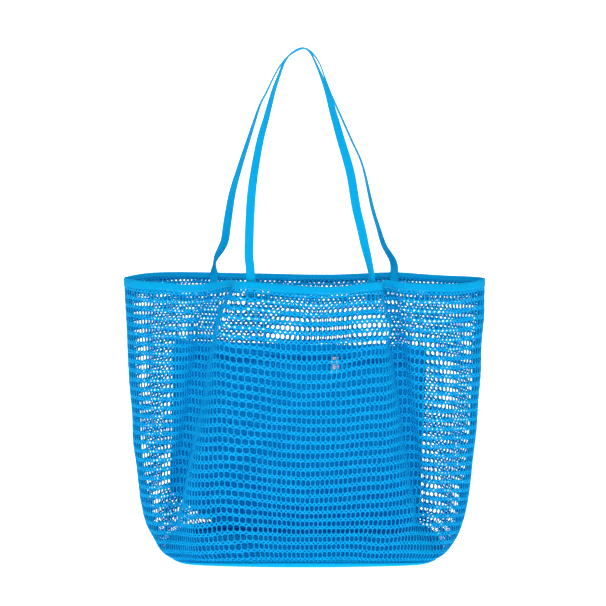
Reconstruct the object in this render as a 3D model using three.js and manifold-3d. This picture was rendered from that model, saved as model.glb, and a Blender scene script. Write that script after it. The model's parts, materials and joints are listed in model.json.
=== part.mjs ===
// Mesh beach bag: a soft net tote on a flat base, with two webbing handles and a zipped inner pocket.
// Millimetres, +Z up, the front faces -Y, +X is the bag's right as seen from the front.
// The origin is the middle of the flat base's underside.
import * as THREE from "three";
import Module from "manifold-3d";

const wasm = await Module();
wasm.setup();
const { Manifold } = wasm;

// ---- Driving dimensions ----
const NET_THICKNESS = 1.0;
const GAP = 0.3; // between pieces that touch in use

const BASE_THICKNESS = 1.2;
const BASE_BINDING_TOP = 12;
const BASE_BINDING_THICKNESS = 1.2;

const RIM_HEIGHT = 357; // nominal height of the mouth
const RIM_TAPE_WIDTH = 10; // seen on each side of the fold
const RIM_TAPE_THICKNESS = 0.8;

const SEAM_TAPE_WIDTH = 8;
const SEAM_TAPE_THICKNESS = 1.2;

const STRAP_WIDTH = 11;
const STRAP_THICKNESS = 1.2;
const STRAP_SEWN_LENGTH = 22; // part of a strap's end below the nominal mouth
const PIVOT_ABOVE_RIM = 11; // the line where a strap bends, above the nominal mouth
const PIVOT_TO_STRAP = 0.8; // the swinging strap starts this far above the bend line
const PIVOT_TO_END = 1.2; // and the sewn end stops this far below it, clear of the strap as it turns
const TWIST_STEP = 4; // degrees of a strap's twist between two of its sections, at most
const APEX_Z = 645; // middle of the straps at their highest point
const APEX_Y = 7.5; // each strap stands this far from the bag's middle plane at its top

const POCKET_CENTRE_X = -5;
const POCKET_WIDTH = 334;
const POCKET_TOP = 267;
const POCKET_TILT = THREE.MathUtils.degToRad(1.5); // its left end sits a little higher
const POCKET_Y = 39; // front face
const POCKET_CLOTH = 0.8;
const POCKET_DEPTH = 5;
const POCKET_CORNER_CUT = 60; // its lower left corner is tucked up
const POCKET_BINDING_WIDTH = 6;

const ZIP_BELOW_POCKET_TOP = 21;
const ZIP_TAPE_WIDTH = 13;
const ZIP_TAPE_THICKNESS = 0.6;
const ZIP_COIL_WIDTH = 2.6;
const ZIP_COIL_THICKNESS = 1.6;
const ZIP_LENGTH = 300;
const ZIP_PULL_X = 41; // where the slider stands

// ---- The soft body's shape ----
// Each row is the front panel's plan at one height, as [x, y] from the left side seam to the right one.
// Its points keep their order: seam, gusset, fold valley, fold ridge, middle, ridge, valley, gusset, seam.
const SEAM_Y = -0.8; // the two panels' edges stand this far from the seam's middle
const FRONT_ROWS = [
  { z: 2, plan: [[-168, SEAM_Y], [-167, -25], [-163, -45], [-155, -55], [-140, -60], [-75, -66], [0, -68],
    [75, -66], [138, -61], [154, -56], [163, -46], [167, -25], [168, SEAM_Y]] },
  { z: 12, plan: [[-189, SEAM_Y], [-188, -25], [-184, -45], [-177, -54], [-164, -60], [-85, -67], [0, -69],
    [85, -67], [158, -62], [172, -57], [182, -47], [188, -26], [189, SEAM_Y]] },
  { z: 34, plan: [[-206, SEAM_Y], [-200, -25], [-187, -42], [-171, -48], [-158, -61], [-83, -68], [0, -70],
    [83, -68], [142, -61], [157, -50], [173, -48], [199, -27], [206, SEAM_Y]] },
  { z: 70, plan: [[-214, SEAM_Y], [-204, -26], [-181, -41], [-160, -43], [-148, -61], [-80, -68], [0, -71],
    [80, -69], [128, -60], [142, -42], [157, -46], [193, -30], [214, SEAM_Y]] },
  { z: 130, plan: [[-220, SEAM_Y], [-206, -26], [-174, -41], [-150, -38], [-133, -61], [-70, -68], [0, -72],
    [70, -69], [112, -58], [129, -36], [147, -44], [191, -32], [220, SEAM_Y]] },
  { z: 195, plan: [[-224, SEAM_Y], [-206, -27], [-162, -43], [-128, -35], [-110, -61], [-60, -68], [5, -72],
    [65, -68], [104, -57], [119, -32], [140, -43], [189, -34], [224, SEAM_Y]] },
  { z: 295, plan: [[-228, SEAM_Y], [-207, -29], [-152, -45], [-112, -34], [-97, -61], [-55, -67], [0, -71],
    [50, -68], [93, -58], [105, -31], [128, -44], [182, -35], [228, SEAM_Y]] },
  { z: RIM_HEIGHT, plan: [[-229, SEAM_Y], [-207, -29], [-146, -43], [-91, -33], [-83, -59.5], [-52, -62.5],
    [0, -68], [45, -65.5], [93, -60.5], [98, -34], [122, -44], [179, -34], [229, SEAM_Y]] },
];

// How far the mouth stands above or below its nominal height, as [x, lift]. The handles draw it up.
const FRONT_RIM_LIFT = [[-229, 3], [-205, 1.5], [-171, 0.5], [-131, -2], [-80, 5], [-40, 2], [0, 0],
  [36, -1.5], [86, 4], [124, 0.5], [190, -2], [215, -0.5], [229, 2]];
const BACK_RIM_LIFT = [[-229, 3], [-205, 4.5], [-185, 4.5], [-120, 2], [-73, 0.5], [40, -1.5], [120, 2.5],
  [160, 0.5], [190, 0], [215, 1], [229, 2]];

// The back panel is plainer: a rounded plan, squarer towards the base.
// It has a soft furrow under each handle end.
const BACK_DEPTH = 68;
const BACK_FULLNESS = 4; // extra bulge at mid height
const BACK_FURROW_DEPTH = 5;
const BACK_FURROW_HALF_WIDTH = 20;

// Handles: [x, z, twist in degrees] along a strap's middle. At twist 0 the strap's face is to the front.
const FRONT_HANDLE = {
  leftX: -66,
  rightX: 81,
  y: -58.6,
  apexY: -APEX_Y,
  run: [[-68, 393, 0], [-67, 431, 5], [-65, 466, 15], [-61, 497, 30], [-54.5, 532, 42], [-47, 559, 52],
    [-38.5, 590, 65], [-31, 611, 75], [-24, 628, 83], [-14, 639, 88], [-2, APEX_Z - 1, 90], [7, 638, 92],
    [14, 624, 97], [20, 610, 106], [27, 592, 120], [35, 565, 138], [44.5, 532, 152], [52, 507, 163],
    [57, 487, 170], [63, 450, 176], [73, 411, 180]],
};
const BACK_HANDLE = {
  leftX: -120,
  rightX: 119,
  y: 58.2,
  apexY: APEX_Y,
  run: [[-113, 382, 4], [-105, 400, 8], [-101, 426, 14], [-94, 464, 38], [-84.5, 496, 54], [-72, 533, 66],
    [-57, 575, 80], [-48, 592, 84], [-35, 617, 88], [-24, 632, 90], [-12, 641, 90], [0, APEX_Z, 90],
    [10, 639, 90], [19, 626, 90], [26, 608, 92], [34, 588, 95], [43.5, 568, 98], [60, 533, 98],
    [75, 500, 99], [88, 447, 111], [96, 421, 117], [104, 398, 132], [111, 386, 152], [117, 378, 168]],
};

// ---- Small helpers ----
const lerp = THREE.MathUtils.lerp;

// A smooth curve through values at rising stations, with three-point slopes.
function smoothAt(stations, values, at) {
  const last = stations.length - 1;
  if (at <= stations[0]) return values[0];
  if (at >= stations[last]) return values[last];
  let i = 0;
  while (at > stations[i + 1]) i += 1;
  const slope = (k) => {
    const a = Math.max(k - 1, 0);
    const b = Math.min(k + 1, last);
    return (values[b] - values[a]) / (stations[b] - stations[a]);
  };
  const span = stations[i + 1] - stations[i];
  const t = (at - stations[i]) / span;
  const t2 = t * t;
  const t3 = t2 * t;
  return (
    (2 * t3 - 3 * t2 + 1) * values[i] +
    (t3 - 2 * t2 + t) * span * slope(i) +
    (3 * t2 - 2 * t3) * values[i + 1] +
    (t3 - t2) * span * slope(i + 1)
  );
}

// ---- The body's wall ----
const ROW_HEIGHTS = FRONT_ROWS.map((row) => row.z);

function seamHalfWidth(z) {
  return smoothAt(ROW_HEIGHTS, FRONT_ROWS.map((row) => row.plan.at(-1)[0]), z);
}

// The front's plan curve at a height. Both seams get one extra point, which rounds the bag's side.
function frontPlan(z) {
  const points = FRONT_ROWS[0].plan.map((_, k) =>
    new THREE.Vector3(
      smoothAt(ROW_HEIGHTS, FRONT_ROWS.map((row) => row.plan[k][0]), z),
      smoothAt(ROW_HEIGHTS, FRONT_ROWS.map((row) => row.plan[k][1]), z),
      0,
    ),
  );
  const rounding = (seam, next) =>
    new THREE.Vector3(lerp(seam.x, next.x, 0.1), lerp(seam.y, next.y, 0.36), 0);
  points.splice(1, 0, rounding(points[0], points[1]));
  points.splice(-1, 0, rounding(points.at(-1), points.at(-2)));
  return points;
}

// The back's plan curve at a height.
function backPlan(z) {
  const halfWidth = seamHalfWidth(z);
  const up = z / RIM_HEIGHT;
  const squareness = lerp(7, 3, Math.min(1, up * 4));
  const roundness = lerp(3, 1.8, Math.min(1, up * 4));
  const depth = BACK_DEPTH + BACK_FULLNESS * Math.sin(Math.PI * Math.min(1, up * 1.05));
  const points = [];
  const steps = 16;
  for (let i = 0; i <= steps; i += 1) {
    const angle = Math.PI * (1 - i / steps);
    const x = halfWidth * Math.sign(Math.cos(angle)) * Math.abs(Math.cos(angle)) ** (2 / squareness);
    const full = depth * Math.abs(Math.sin(angle)) ** (2 / roundness);
    const furrow = [BACK_HANDLE.leftX, BACK_HANDLE.rightX]
      .map((at) => Math.exp(-(((x - at) / BACK_FURROW_HALF_WIDTH) ** 2)))
      .reduce((sum, part) => sum + part, 0);
    const y = full - BACK_FURROW_DEPTH * furrow * Math.sin(Math.PI * up);
    points.push(new THREE.Vector3(x, Math.max(-SEAM_Y, y), 0));
  }
  return points;
}

// A side of the bag as a list of wall stations in plan: position and outward normal, at one height.
function stations(plan, outward, z, perSpan) {
  const curve = new THREE.CatmullRomCurve3(plan(z), false, "centripetal");
  const count = (curve.points.length - 1) * perSpan;
  const list = [];
  for (let i = 0; i <= count; i += 1) {
    const at = curve.getPoint(i / count);
    const tangent = curve.getTangent(i / count);
    const normal = new THREE.Vector3(tangent.y, -tangent.x, 0).multiplyScalar(outward).normalize();
    list.push({ at, normal });
  }
  return list;
}

const SIDES = {
  front: { plan: frontPlan, outward: 1, perSpan: 3, lift: FRONT_RIM_LIFT },
  back: { plan: backPlan, outward: -1, perSpan: 2, lift: BACK_RIM_LIFT },
};

function rimLift(side, x) {
  return smoothAt(side.lift.map((p) => p[0]), side.lift.map((p) => p[1]), x);
}

// One row of wall points at a nominal height, moved out by an offset.
function wallRow(side, z, offset) {
  return stations(side.plan, side.outward, z, side.perSpan).map(({ at, normal }) => {
    const lifted = z + rimLift(side, at.x) * Math.min(1, z / RIM_HEIGHT) ** 2;
    return new THREE.Vector3(at.x + normal.x * offset, at.y + normal.y * offset, lifted);
  });
}

// The whole way round at a nominal height: the front from left to right, then the back from right to left.
function loopRow(z, offset) {
  return [...wallRow(SIDES.front, z, offset), ...wallRow(SIDES.back, z, offset).reverse()];
}

// ---- Solids ----
function named(geometry, name, material) {
  const mesh = new THREE.Mesh(geometry, material);
  mesh.name = name;
  return mesh;
}

function indexedMesh(coordinates, triangles, name, material) {
  const geometry = new THREE.BufferGeometry();
  geometry.setAttribute("position", new THREE.Float32BufferAttribute(coordinates, 3));
  geometry.setIndex(triangles);
  geometry.computeVertexNormals();
  return named(geometry, name, material);
}

function meshFrom(points, triangles, name, material) {
  return indexedMesh(points.flatMap((p) => [p.x, p.y, p.z]), triangles, name, material);
}

function fromManifold(solid, name, material) {
  const { vertProperties, triVerts } = solid.getMesh();
  return indexedMesh([...vertProperties], [...triVerts], name, material);
}

// A box between two values on each axis.
function block(x, y, z, name, material) {
  const size = [x, y, z].map(([a, b]) => Math.abs(b - a));
  const middle = [x, y, z].map(([a, b]) => (a + b) / 2);
  const geometry = new THREE.BoxGeometry(...size);
  geometry.translate(...middle);
  return named(geometry, name, material);
}

// A solid swept through sections.
// Each section is one ring of points, anticlockwise seen from the next section.
function sweptSolid(sections, closedLoop, name, material) {
  const ring = sections[0].length;
  const last = sections.length - 1;
  const triangles = [];
  for (let i = 0; i < (closedLoop ? last + 1 : last); i += 1) {
    const a = i * ring;
    const b = ((i + 1) % sections.length) * ring;
    for (let k = 0; k < ring; k += 1) {
      const next = (k + 1) % ring;
      triangles.push(a + k, a + next, b + next, a + k, b + next, b + k);
    }
  }
  // An end cap joins the ring's two halves rung by rung, which suits a long thin section.
  for (let low = 0; !closedLoop && low < ring / 2 - 1; low += 1) {
    const high = ring - 1 - low;
    const end = last * ring;
    triangles.push(low, high - 1, low + 1, low, high, high - 1);
    triangles.push(end + low, end + low + 1, end + high - 1, end + low, end + high - 1, end + high);
  }
  return meshFrom(sections.flat(), triangles, name, material);
}

function fabric(colour, roughness = 0.8) {
  return new THREE.MeshStandardMaterial({ color: colour, roughness, metalness: 0 });
}

function metal(colour) {
  return new THREE.MeshStandardMaterial({ color: colour, roughness: 0.25, metalness: 1 });
}

const MATERIALS = {
  net: fabric(0x08a8ee),
  base: fabric(0x0878cc),
  binding: fabric(0x0ca6ea),
  strap: fabric(0x10a9ec, 0.7),
  pocket: fabric(0x0668be),
  zipTape: fabric(0x0668be),
  zipCoil: fabric(0x0a7cd0, 0.45),
  zipMetal: metal(0xd8dadd),
};

// ---- Body pieces ----
const WALL_BOTTOM = BASE_THICKNESS + GAP;
const BAND_LOW = RIM_HEIGHT - RIM_TAPE_WIDTH; // the rim tape's lower edge
const BASE_CURVE = [WALL_BOTTOM, 6, BASE_BINDING_TOP]; // levels that the wall and its base binding share

function netPanel(side, name) {
  const heights = [...BASE_CURVE, 22, 34, 50, 70, 100, 130, 162, 195, 228, 262, 295, 325, BAND_LOW,
    RIM_HEIGHT - RIM_TAPE_THICKNESS - GAP];
  const sections = heights.map((z) => {
    const outer = wallRow(side, z, NET_THICKNESS / 2);
    const inner = wallRow(side, z, -NET_THICKNESS / 2);
    return side === SIDES.front ? [...outer, ...inner.reverse()] : [...inner, ...outer.reverse()];
  });
  return sweptSolid(sections, false, name, MATERIALS.net);
}

function basePanel() {
  const outline = loopRow(WALL_BOTTOM, 0).map((p) => new THREE.Vector2(p.x, p.y));
  const shape = new THREE.Shape(outline);
  const geometry = new THREE.ExtrudeGeometry(shape, { depth: BASE_THICKNESS, bevelEnabled: false });
  return named(geometry, "base_panel", MATERIALS.base);
}

// A tape that follows the wall all the way round.
// Its section lists [height, offset from the wall's middle].
function wallTape(section, name) {
  const rows = section.map(([z, offset]) => loopRow(z, offset));
  const sections = rows[0].map((_, i) => rows.map((row) => row[i]));
  return sweptSolid(sections, true, name, MATERIALS.binding);
}

function baseSeamBinding() {
  const outer = -(NET_THICKNESS / 2 + GAP);
  const inner = outer - BASE_BINDING_THICKNESS;
  const up = BASE_CURVE.map((z) => [z, inner]);
  const down = BASE_CURVE.map((z) => [z, outer]).reverse();
  return wallTape([...up, ...down], "base_seam_binding");
}

// The rim's tape is folded over the panels, so its section is a U turned upside down.
function rimBinding() {
  const inside = NET_THICKNESS / 2 + GAP;
  const outside = inside + RIM_TAPE_THICKNESS;
  const fold = RIM_HEIGHT - RIM_TAPE_THICKNESS;
  const section = [
    [BAND_LOW, -outside], [RIM_HEIGHT, -outside], [RIM_HEIGHT, outside], [BAND_LOW, outside],
    [BAND_LOW, inside], [fold, inside], [fold, -inside], [BAND_LOW, -inside],
  ];
  return wallTape(section, "rim_binding");
}

// The tape closed over a side seam's allowances stands inwards from the seam.
function sideSeamTape(sign, name) {
  const half = SEAM_TAPE_THICKNESS / 2;
  const heights = [18, 34, 52, 70, 100, 130, 162, 195, 245, 295, BAND_LOW - 4];
  const sections = heights.map((z) => {
    const seam = sign * (seamHalfWidth(z) - 1.5);
    const free = seam - sign * SEAM_TAPE_WIDTH;
    const low = Math.min(seam, free);
    const high = Math.max(seam, free);
    return [[low, -half], [high, -half], [high, half], [low, half]]
      .map(([x, y]) => new THREE.Vector3(x, y, z));
  });
  return sweptSolid(sections, false, name, MATERIALS.binding);
}

// ---- Handles ----
const PIVOT_Z = RIM_HEIGHT + PIVOT_ABOVE_RIM;

// A strap's run with more sections between its stops, so that no two of them twist far apart.
function evenTwist(stops) {
  const numbers = stops.map((_, i) => i);
  const at = (where) => [0, 1, 2].map((k) => smoothAt(numbers, stops.map((stop) => stop[k]), where));
  const run = [stops[0]];
  for (let i = 1; i < stops.length; i += 1) {
    const steps = Math.max(1, Math.ceil(Math.abs(stops[i][2] - stops[i - 1][2]) / TWIST_STEP));
    for (let k = 1; k <= steps; k += 1) run.push(at(i - 1 + k / steps));
  }
  return run;
}

// The swinging part of a handle: a flat strap from just above one bend line to just above the other.
function handle({ leftX, rightX, y, apexY, run }, name) {
  const start = PIVOT_Z + PIVOT_TO_STRAP;
  const straight = start + 3; // it leaves each bend line square on
  const between = evenTwist([[leftX, straight, 0], ...run, [rightX, straight, 180]]);
  const stops = [[leftX, start, 0], ...between, [rightX, start, 180]];
  const yAt = (z) => lerp(y, apexY, (z - PIVOT_Z) / (APEX_Z - PIVOT_Z));
  const path = stops.map(([x, z]) => new THREE.Vector3(x, yAt(z), z));
  const sections = stops.map(([, , twist], i) => {
    const along = path[Math.min(i + 1, path.length - 1)].clone().sub(path[Math.max(i - 1, 0)]).normalize();
    const turn = THREE.MathUtils.degToRad(twist);
    const width = new THREE.Vector3(Math.cos(turn), Math.sin(turn), 0);
    width.addScaledVector(along, -width.dot(along)).normalize();
    const face = new THREE.Vector3().crossVectors(along, width);
    const corner = (w, t) => path[i].clone()
      .addScaledVector(width, (w * STRAP_WIDTH) / 2)
      .addScaledVector(face, (t * STRAP_THICKNESS) / 2);
    return [corner(-1, -1), corner(1, -1), corner(1, 1), corner(-1, 1)];
  });
  return sweptSolid(sections, false, name, MATERIALS.strap);
}

// A handle's sewn end stands against the rim's inner face, from below the rim up to the bend line.
function handleEnd(x, y, name) {
  const half = STRAP_WIDTH / 2;
  const thick = STRAP_THICKNESS / 2;
  return block([x - half, x + half], [y - thick, y + thick],
    [RIM_HEIGHT - STRAP_SEWN_LENGTH, PIVOT_Z - PIVOT_TO_END], name, MATERIALS.strap);
}

// ---- Inner pocket: a flat pouch inside the back ----
// Its own origin is its top middle, on its front face.
const POCKET_HALF = POCKET_WIDTH / 2;
const POCKET_LOW = 10 - POCKET_TOP;
const ZIP_Z = -ZIP_BELOW_POCKET_TOP;
const ZIP_WINDOW = 5; // from the zip's middle to the cloth's edge, each way

// The pouch's outline below a level, drawn in by an inset, with its lower left corner cut away.
function pouchOutline(top, inset) {
  const half = POCKET_HALF - inset;
  const low = POCKET_LOW + inset;
  const cut = POCKET_CORNER_CUT - inset / 3;
  return [[-half, top], [-half, low + cut], [1.3 * cut - half, low], [half, low], [half, top]]
    .map(([x, z]) => new THREE.Vector2(x, z));
}

// A flat piece of the pouch: an outline in X and Z, from one depth behind the front face to another.
function pouchPiece(outline, front, back, name, material) {
  const shape = new THREE.Shape(outline);
  const geometry = new THREE.ExtrudeGeometry(shape, { depth: back - front, bevelEnabled: false });
  geometry.rotateX(Math.PI / 2);
  geometry.translate(0, back, 0);
  return named(geometry, name, material);
}

function pocketFront() {
  return pouchPiece(pouchOutline(ZIP_Z - ZIP_WINDOW, 0), 0, POCKET_CLOTH, "pocket_front", MATERIALS.pocket);
}

function pocketTopStrip() {
  return block([-POCKET_HALF, POCKET_HALF], [0, POCKET_CLOTH], [ZIP_Z + ZIP_WINDOW, 0], "pocket_top_strip",
    MATERIALS.pocket);
}

function pocketBack() {
  return pouchPiece(pouchOutline(0, 0), POCKET_DEPTH - POCKET_CLOTH, POCKET_DEPTH, "pocket_back",
    MATERIALS.pocket);
}

// Tape round the pouch's two sides and bottom, between its two layers.
function pocketEdgeBinding() {
  const top = ZIP_Z - ZIP_TAPE_WIDTH - 4;
  const outline = [...pouchOutline(top, 0.5), ...pouchOutline(top, 0.5 + POCKET_BINDING_WIDTH).reverse()];
  return pouchPiece(outline, POCKET_CLOTH + GAP, POCKET_DEPTH - POCKET_CLOTH - GAP, "pocket_edge_binding",
    MATERIALS.binding);
}

// ---- The pocket's zip ----
const TAPE_FRONT = POCKET_CLOTH + GAP;
const COIL_BACK = TAPE_FRONT - GAP;
const COIL_FRONT = COIL_BACK - ZIP_COIL_THICKNESS;
const COIL_HALF_LENGTH = ZIP_LENGTH / 2 - 8;

function zipTape(sign, name) {
  const long = [-ZIP_LENGTH / 2, ZIP_LENGTH / 2];
  const deep = [TAPE_FRONT, TAPE_FRONT + ZIP_TAPE_THICKNESS];
  const levels = [ZIP_Z + sign * 0.6, ZIP_Z + sign * ZIP_TAPE_WIDTH];
  return block(long, deep, levels, name, MATERIALS.zipTape);
}

// One half of the coil lies along the front of its tape's edge.
function zipCoil(sign, name) {
  const levels = [ZIP_Z + sign * 0.15, ZIP_Z + sign * (0.15 + ZIP_COIL_WIDTH)];
  const long = [-COIL_HALF_LENGTH, COIL_HALF_LENGTH];
  return block(long, [COIL_FRONT, COIL_BACK], levels, name, MATERIALS.zipCoil);
}

function zipStop(sign, name) {
  const ends = [sign * (COIL_HALF_LENGTH + 0.5), sign * (COIL_HALF_LENGTH + 3.5)];
  return block(ends, [COIL_FRONT - 1.2, COIL_BACK], [ZIP_Z - 3, ZIP_Z + 3], name, MATERIALS.zipMetal);
}

// A box between two values on each axis, as a manifold solid.
function solidBlock(x, y, z) {
  const size = [x, y, z].map(([a, b]) => Math.abs(b - a));
  const middle = [x, y, z].map(([a, b]) => (a + b) / 2);
  return Manifold.cube(size, true).translate(middle);
}

const SLIDER_HALF_LENGTH = 4.5;
const SLIDER_HALF_HEIGHT = 4.4;
const PLATE_BACK = COIL_FRONT - GAP;
const PLATE_FRONT = PLATE_BACK - 1;
const BAIL_RISE = 3.2;
const PULL_Y = PLATE_FRONT - 1; // the pull's crossbar

// The slider covers the coils with a plate and an edge along each side. A bail on the plate holds the pull.
function zipSlider() {
  const long = [-SLIDER_HALF_LENGTH, SLIDER_HALF_LENGTH];
  const plate = solidBlock(long, [PLATE_FRONT, PLATE_BACK], [-SLIDER_HALF_HEIGHT, SLIDER_HALF_HEIGHT]);
  const edges = [-1, 1].map((sign) => {
    const levels = [sign * (SLIDER_HALF_HEIGHT - 0.9), sign * SLIDER_HALF_HEIGHT];
    return solidBlock(long, [PLATE_FRONT, COIL_BACK - 0.1], levels);
  });
  const bailBlock = solidBlock([-0.8, 0.8], [PLATE_FRONT - BAIL_RISE, PLATE_BACK], [-2.5, 2.5]);
  const bailHole = solidBlock([-2, 2], [PLATE_FRONT - BAIL_RISE + 1, PLATE_FRONT], [-1.5, 1.5]);
  return fromManifold(Manifold.union([plate, ...edges, bailBlock.subtract(bailHole)]), "zip_slider",
    MATERIALS.zipMetal);
}

// The pull hangs by a round crossbar that goes through the bail. Its own origin is the crossbar's middle.
function zipPull() {
  const tab = solidBlock([-5.5, 5.5], [-0.5, 0.5], [-18, 0.5]);
  const window = solidBlock([-3.7, 3.7], [-1, 1], [-4.3, 1]);
  const crossbar = Manifold.cylinder(8.4, 0.5, 0.5, 16, true).rotate([0, 90, 0]);
  return fromManifold(tab.subtract(window).add(crossbar), "zip_pull", MATERIALS.zipMetal);
}

// ---- Assembly ----
const bag = new THREE.Group();
bag.name = "beach_bag";
bag.add(
  basePanel(),
  netPanel(SIDES.front, "front_net_panel"),
  netPanel(SIDES.back, "back_net_panel"),
  baseSeamBinding(),
  sideSeamTape(-1, "side_seam_tape_left"),
  sideSeamTape(1, "side_seam_tape_right"),
  rimBinding(),
  handle(FRONT_HANDLE, "front_handle"),
  handleEnd(FRONT_HANDLE.leftX, FRONT_HANDLE.y, "front_handle_end_left"),
  handleEnd(FRONT_HANDLE.rightX, FRONT_HANDLE.y, "front_handle_end_right"),
  handle(BACK_HANDLE, "back_handle"),
  handleEnd(BACK_HANDLE.leftX, BACK_HANDLE.y, "back_handle_end_left"),
  handleEnd(BACK_HANDLE.rightX, BACK_HANDLE.y, "back_handle_end_right"),
);

const slider = zipSlider();
slider.position.set(ZIP_PULL_X - POCKET_CENTRE_X, 0, ZIP_Z);
const pull = zipPull();
pull.position.set(ZIP_PULL_X - POCKET_CENTRE_X, PULL_Y, ZIP_Z);

const pocket = new THREE.Group();
pocket.name = "inner_pocket";
pocket.add(
  pocketBack(),
  pocketFront(),
  pocketTopStrip(),
  pocketEdgeBinding(),
  zipTape(-1, "zip_tape_lower"),
  zipTape(1, "zip_tape_upper"),
  zipCoil(-1, "zip_coil_lower"),
  zipCoil(1, "zip_coil_upper"),
  zipStop(-1, "zip_stop_left"),
  zipStop(1, "zip_stop_right"),
  slider,
  pull,
);
pocket.position.set(POCKET_CENTRE_X, POCKET_Y, POCKET_TOP);
pocket.rotation.y = POCKET_TILT;
bag.add(pocket);

export default bag;
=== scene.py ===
"""A see-through beach bag: net walls, a bound rim, webbing straps and a zipped inner pocket.

Metres, +Z up, the front faces -Y. The walls follow the frame's net panels, cut level by level.
"""

import json
import math
from collections import defaultdict

import bpy
import numpy as np
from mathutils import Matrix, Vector


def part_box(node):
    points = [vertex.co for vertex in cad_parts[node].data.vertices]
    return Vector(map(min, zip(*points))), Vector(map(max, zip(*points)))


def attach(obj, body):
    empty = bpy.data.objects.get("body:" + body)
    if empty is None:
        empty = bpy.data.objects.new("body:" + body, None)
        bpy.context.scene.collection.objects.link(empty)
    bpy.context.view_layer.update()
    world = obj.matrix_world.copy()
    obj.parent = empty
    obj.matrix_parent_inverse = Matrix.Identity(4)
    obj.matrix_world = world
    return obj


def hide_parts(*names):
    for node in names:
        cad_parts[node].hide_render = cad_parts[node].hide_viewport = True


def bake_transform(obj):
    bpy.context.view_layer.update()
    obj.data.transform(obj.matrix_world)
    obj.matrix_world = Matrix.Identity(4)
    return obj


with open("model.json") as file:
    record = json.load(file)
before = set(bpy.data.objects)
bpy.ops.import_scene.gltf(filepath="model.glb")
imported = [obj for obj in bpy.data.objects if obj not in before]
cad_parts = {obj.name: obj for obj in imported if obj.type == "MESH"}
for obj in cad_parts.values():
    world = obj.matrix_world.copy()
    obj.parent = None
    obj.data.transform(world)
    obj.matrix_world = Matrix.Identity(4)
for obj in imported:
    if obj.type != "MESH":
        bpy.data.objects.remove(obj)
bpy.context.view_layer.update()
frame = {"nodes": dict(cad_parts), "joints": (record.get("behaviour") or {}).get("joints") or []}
MM = 0.001
RNG = np.random.default_rng(11)

# ---- Driving dimensions that the frame doesn't give ----
NET_COLUMNS = {"front": 100, "back": 92}
NET_ROWS = 32
CELL = np.array([5.4, 11.2]) * MM
BIG_HOLE = np.array([3.6, 6.2]) * MM
SMALL_HOLE = np.array([3.0, 2.5]) * MM
BIG_HOLE_SPREAD = 0.05  # how much the holes' sizes vary, as shares of them
SMALL_HOLE_SPREAD = 0.12
HOLE_ROUNDNESS = 0.94  # 1 is an ellipse, and less is squarer
NARROWEST_COLUMN = 0.4  # in a gather, as a share of a flat column
NARROWEST_HOLE = 0.25  # and its big hole, as a share of the column
STRAND_THICKNESS = 1.5 * MM

HEM_DEPTH = 19 * MM  # from the rim's crest to the hem's lower edge
HEM_THICKNESS = 1.2 * MM
HEM_INSET = 1.6 * MM
RIM_TAPE_DROP = 10 * MM
RIM_TAPE_INNER_DROP = 7 * MM
RIM_TAPE_HALF_THICKNESS = 1.5 * MM
STITCH_PITCH = 3.6 * MM
STITCH_LENGTH = 2.6 * MM
STITCH_WIDTH = 0.7 * MM
STITCH_MARGIN = 1.8 * MM  # from the rim tape's edge to its row of stitches

STRAP_WIDTH = 11 * MM
STRAP_THICKNESS = 1.3 * MM
TACK_HALF = 3.8 * MM  # half the side of the sewn box on a strap's end
TACK_LOW = 336 * MM
TACK_HIGH = 346 * MM

# ---- How finely the shapes are drawn ----
WALL_ACROSS = 401
WALL_UP = 161
WALL_CUTS = 80
GATHER_LEVELS = 60
RIM_POINTS = 620
BASE_TAPE_POINTS = 420
BASE_POINTS = 300

# ---- What the frame gives ----
RIM_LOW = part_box("rim_binding")[0]
JOINTS = {joint["name"]: joint for joint in frame["joints"]}


# ---- Meshes ----
def mesh_object(name, points, faces, material):
    """A smooth-shaded mesh object from points and faces."""
    mesh = bpy.data.meshes.new(name)
    mesh.from_pydata(np.asarray(points, float).tolist(), [], [list(f) for f in faces])
    mesh.materials.append(material)
    mesh.polygons.foreach_set("use_smooth", [True] * len(mesh.polygons))
    obj = bpy.data.objects.new(name, mesh)
    bpy.context.scene.collection.objects.link(obj)
    return obj


def set_uv(obj, uv_of_point):
    """One UV for each point, in millimetres of cloth."""
    layer = obj.data.uv_layers.new(name="cloth")
    corners = np.empty(len(obj.data.loops), dtype=np.int64)
    obj.data.loops.foreach_get("vertex_index", corners)
    layer.data.foreach_set("uv", np.asarray(uv_of_point, np.float32)[corners].ravel())


def apply_modifiers(obj):
    """Makes the object's modifiers part of its mesh."""
    graph = bpy.context.evaluated_depsgraph_get()
    evaluated = obj.evaluated_get(graph)
    mesh = bpy.data.meshes.new_from_object(evaluated, preserve_all_data_layers=True, depsgraph=graph)
    obj.modifiers.clear()
    obj.data = mesh
    return obj


def thickened(obj, thickness):
    """Gives a single surface its thickness, half on each side."""
    solid = obj.modifiers.new("thickness", "SOLIDIFY")
    solid.thickness = thickness
    solid.offset = 0
    return apply_modifiers(obj)


def grid_faces(rows, columns, round_rows=False, round_columns=False):
    """Quads over points stored row by row. A round direction closes on itself."""
    faces = []
    for i in range(rows if round_rows else rows - 1):
        for j in range(columns if round_columns else columns - 1):
            below = i * columns
            above = (i + 1) % rows * columns
            beside = (j + 1) % columns
            faces.append((below + j, below + beside, above + beside, above + j))
    return faces


def sheet_from_grid(name, grid, uv, thickness, material):
    """A piece of cloth from a grid of points."""
    rows, columns = grid.shape[:2]
    obj = mesh_object(name, grid.reshape(-1, 3), grid_faces(rows, columns), material)
    set_uv(obj, np.asarray(uv).reshape(-1, 2) / MM)
    return thickened(obj, thickness)


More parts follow.
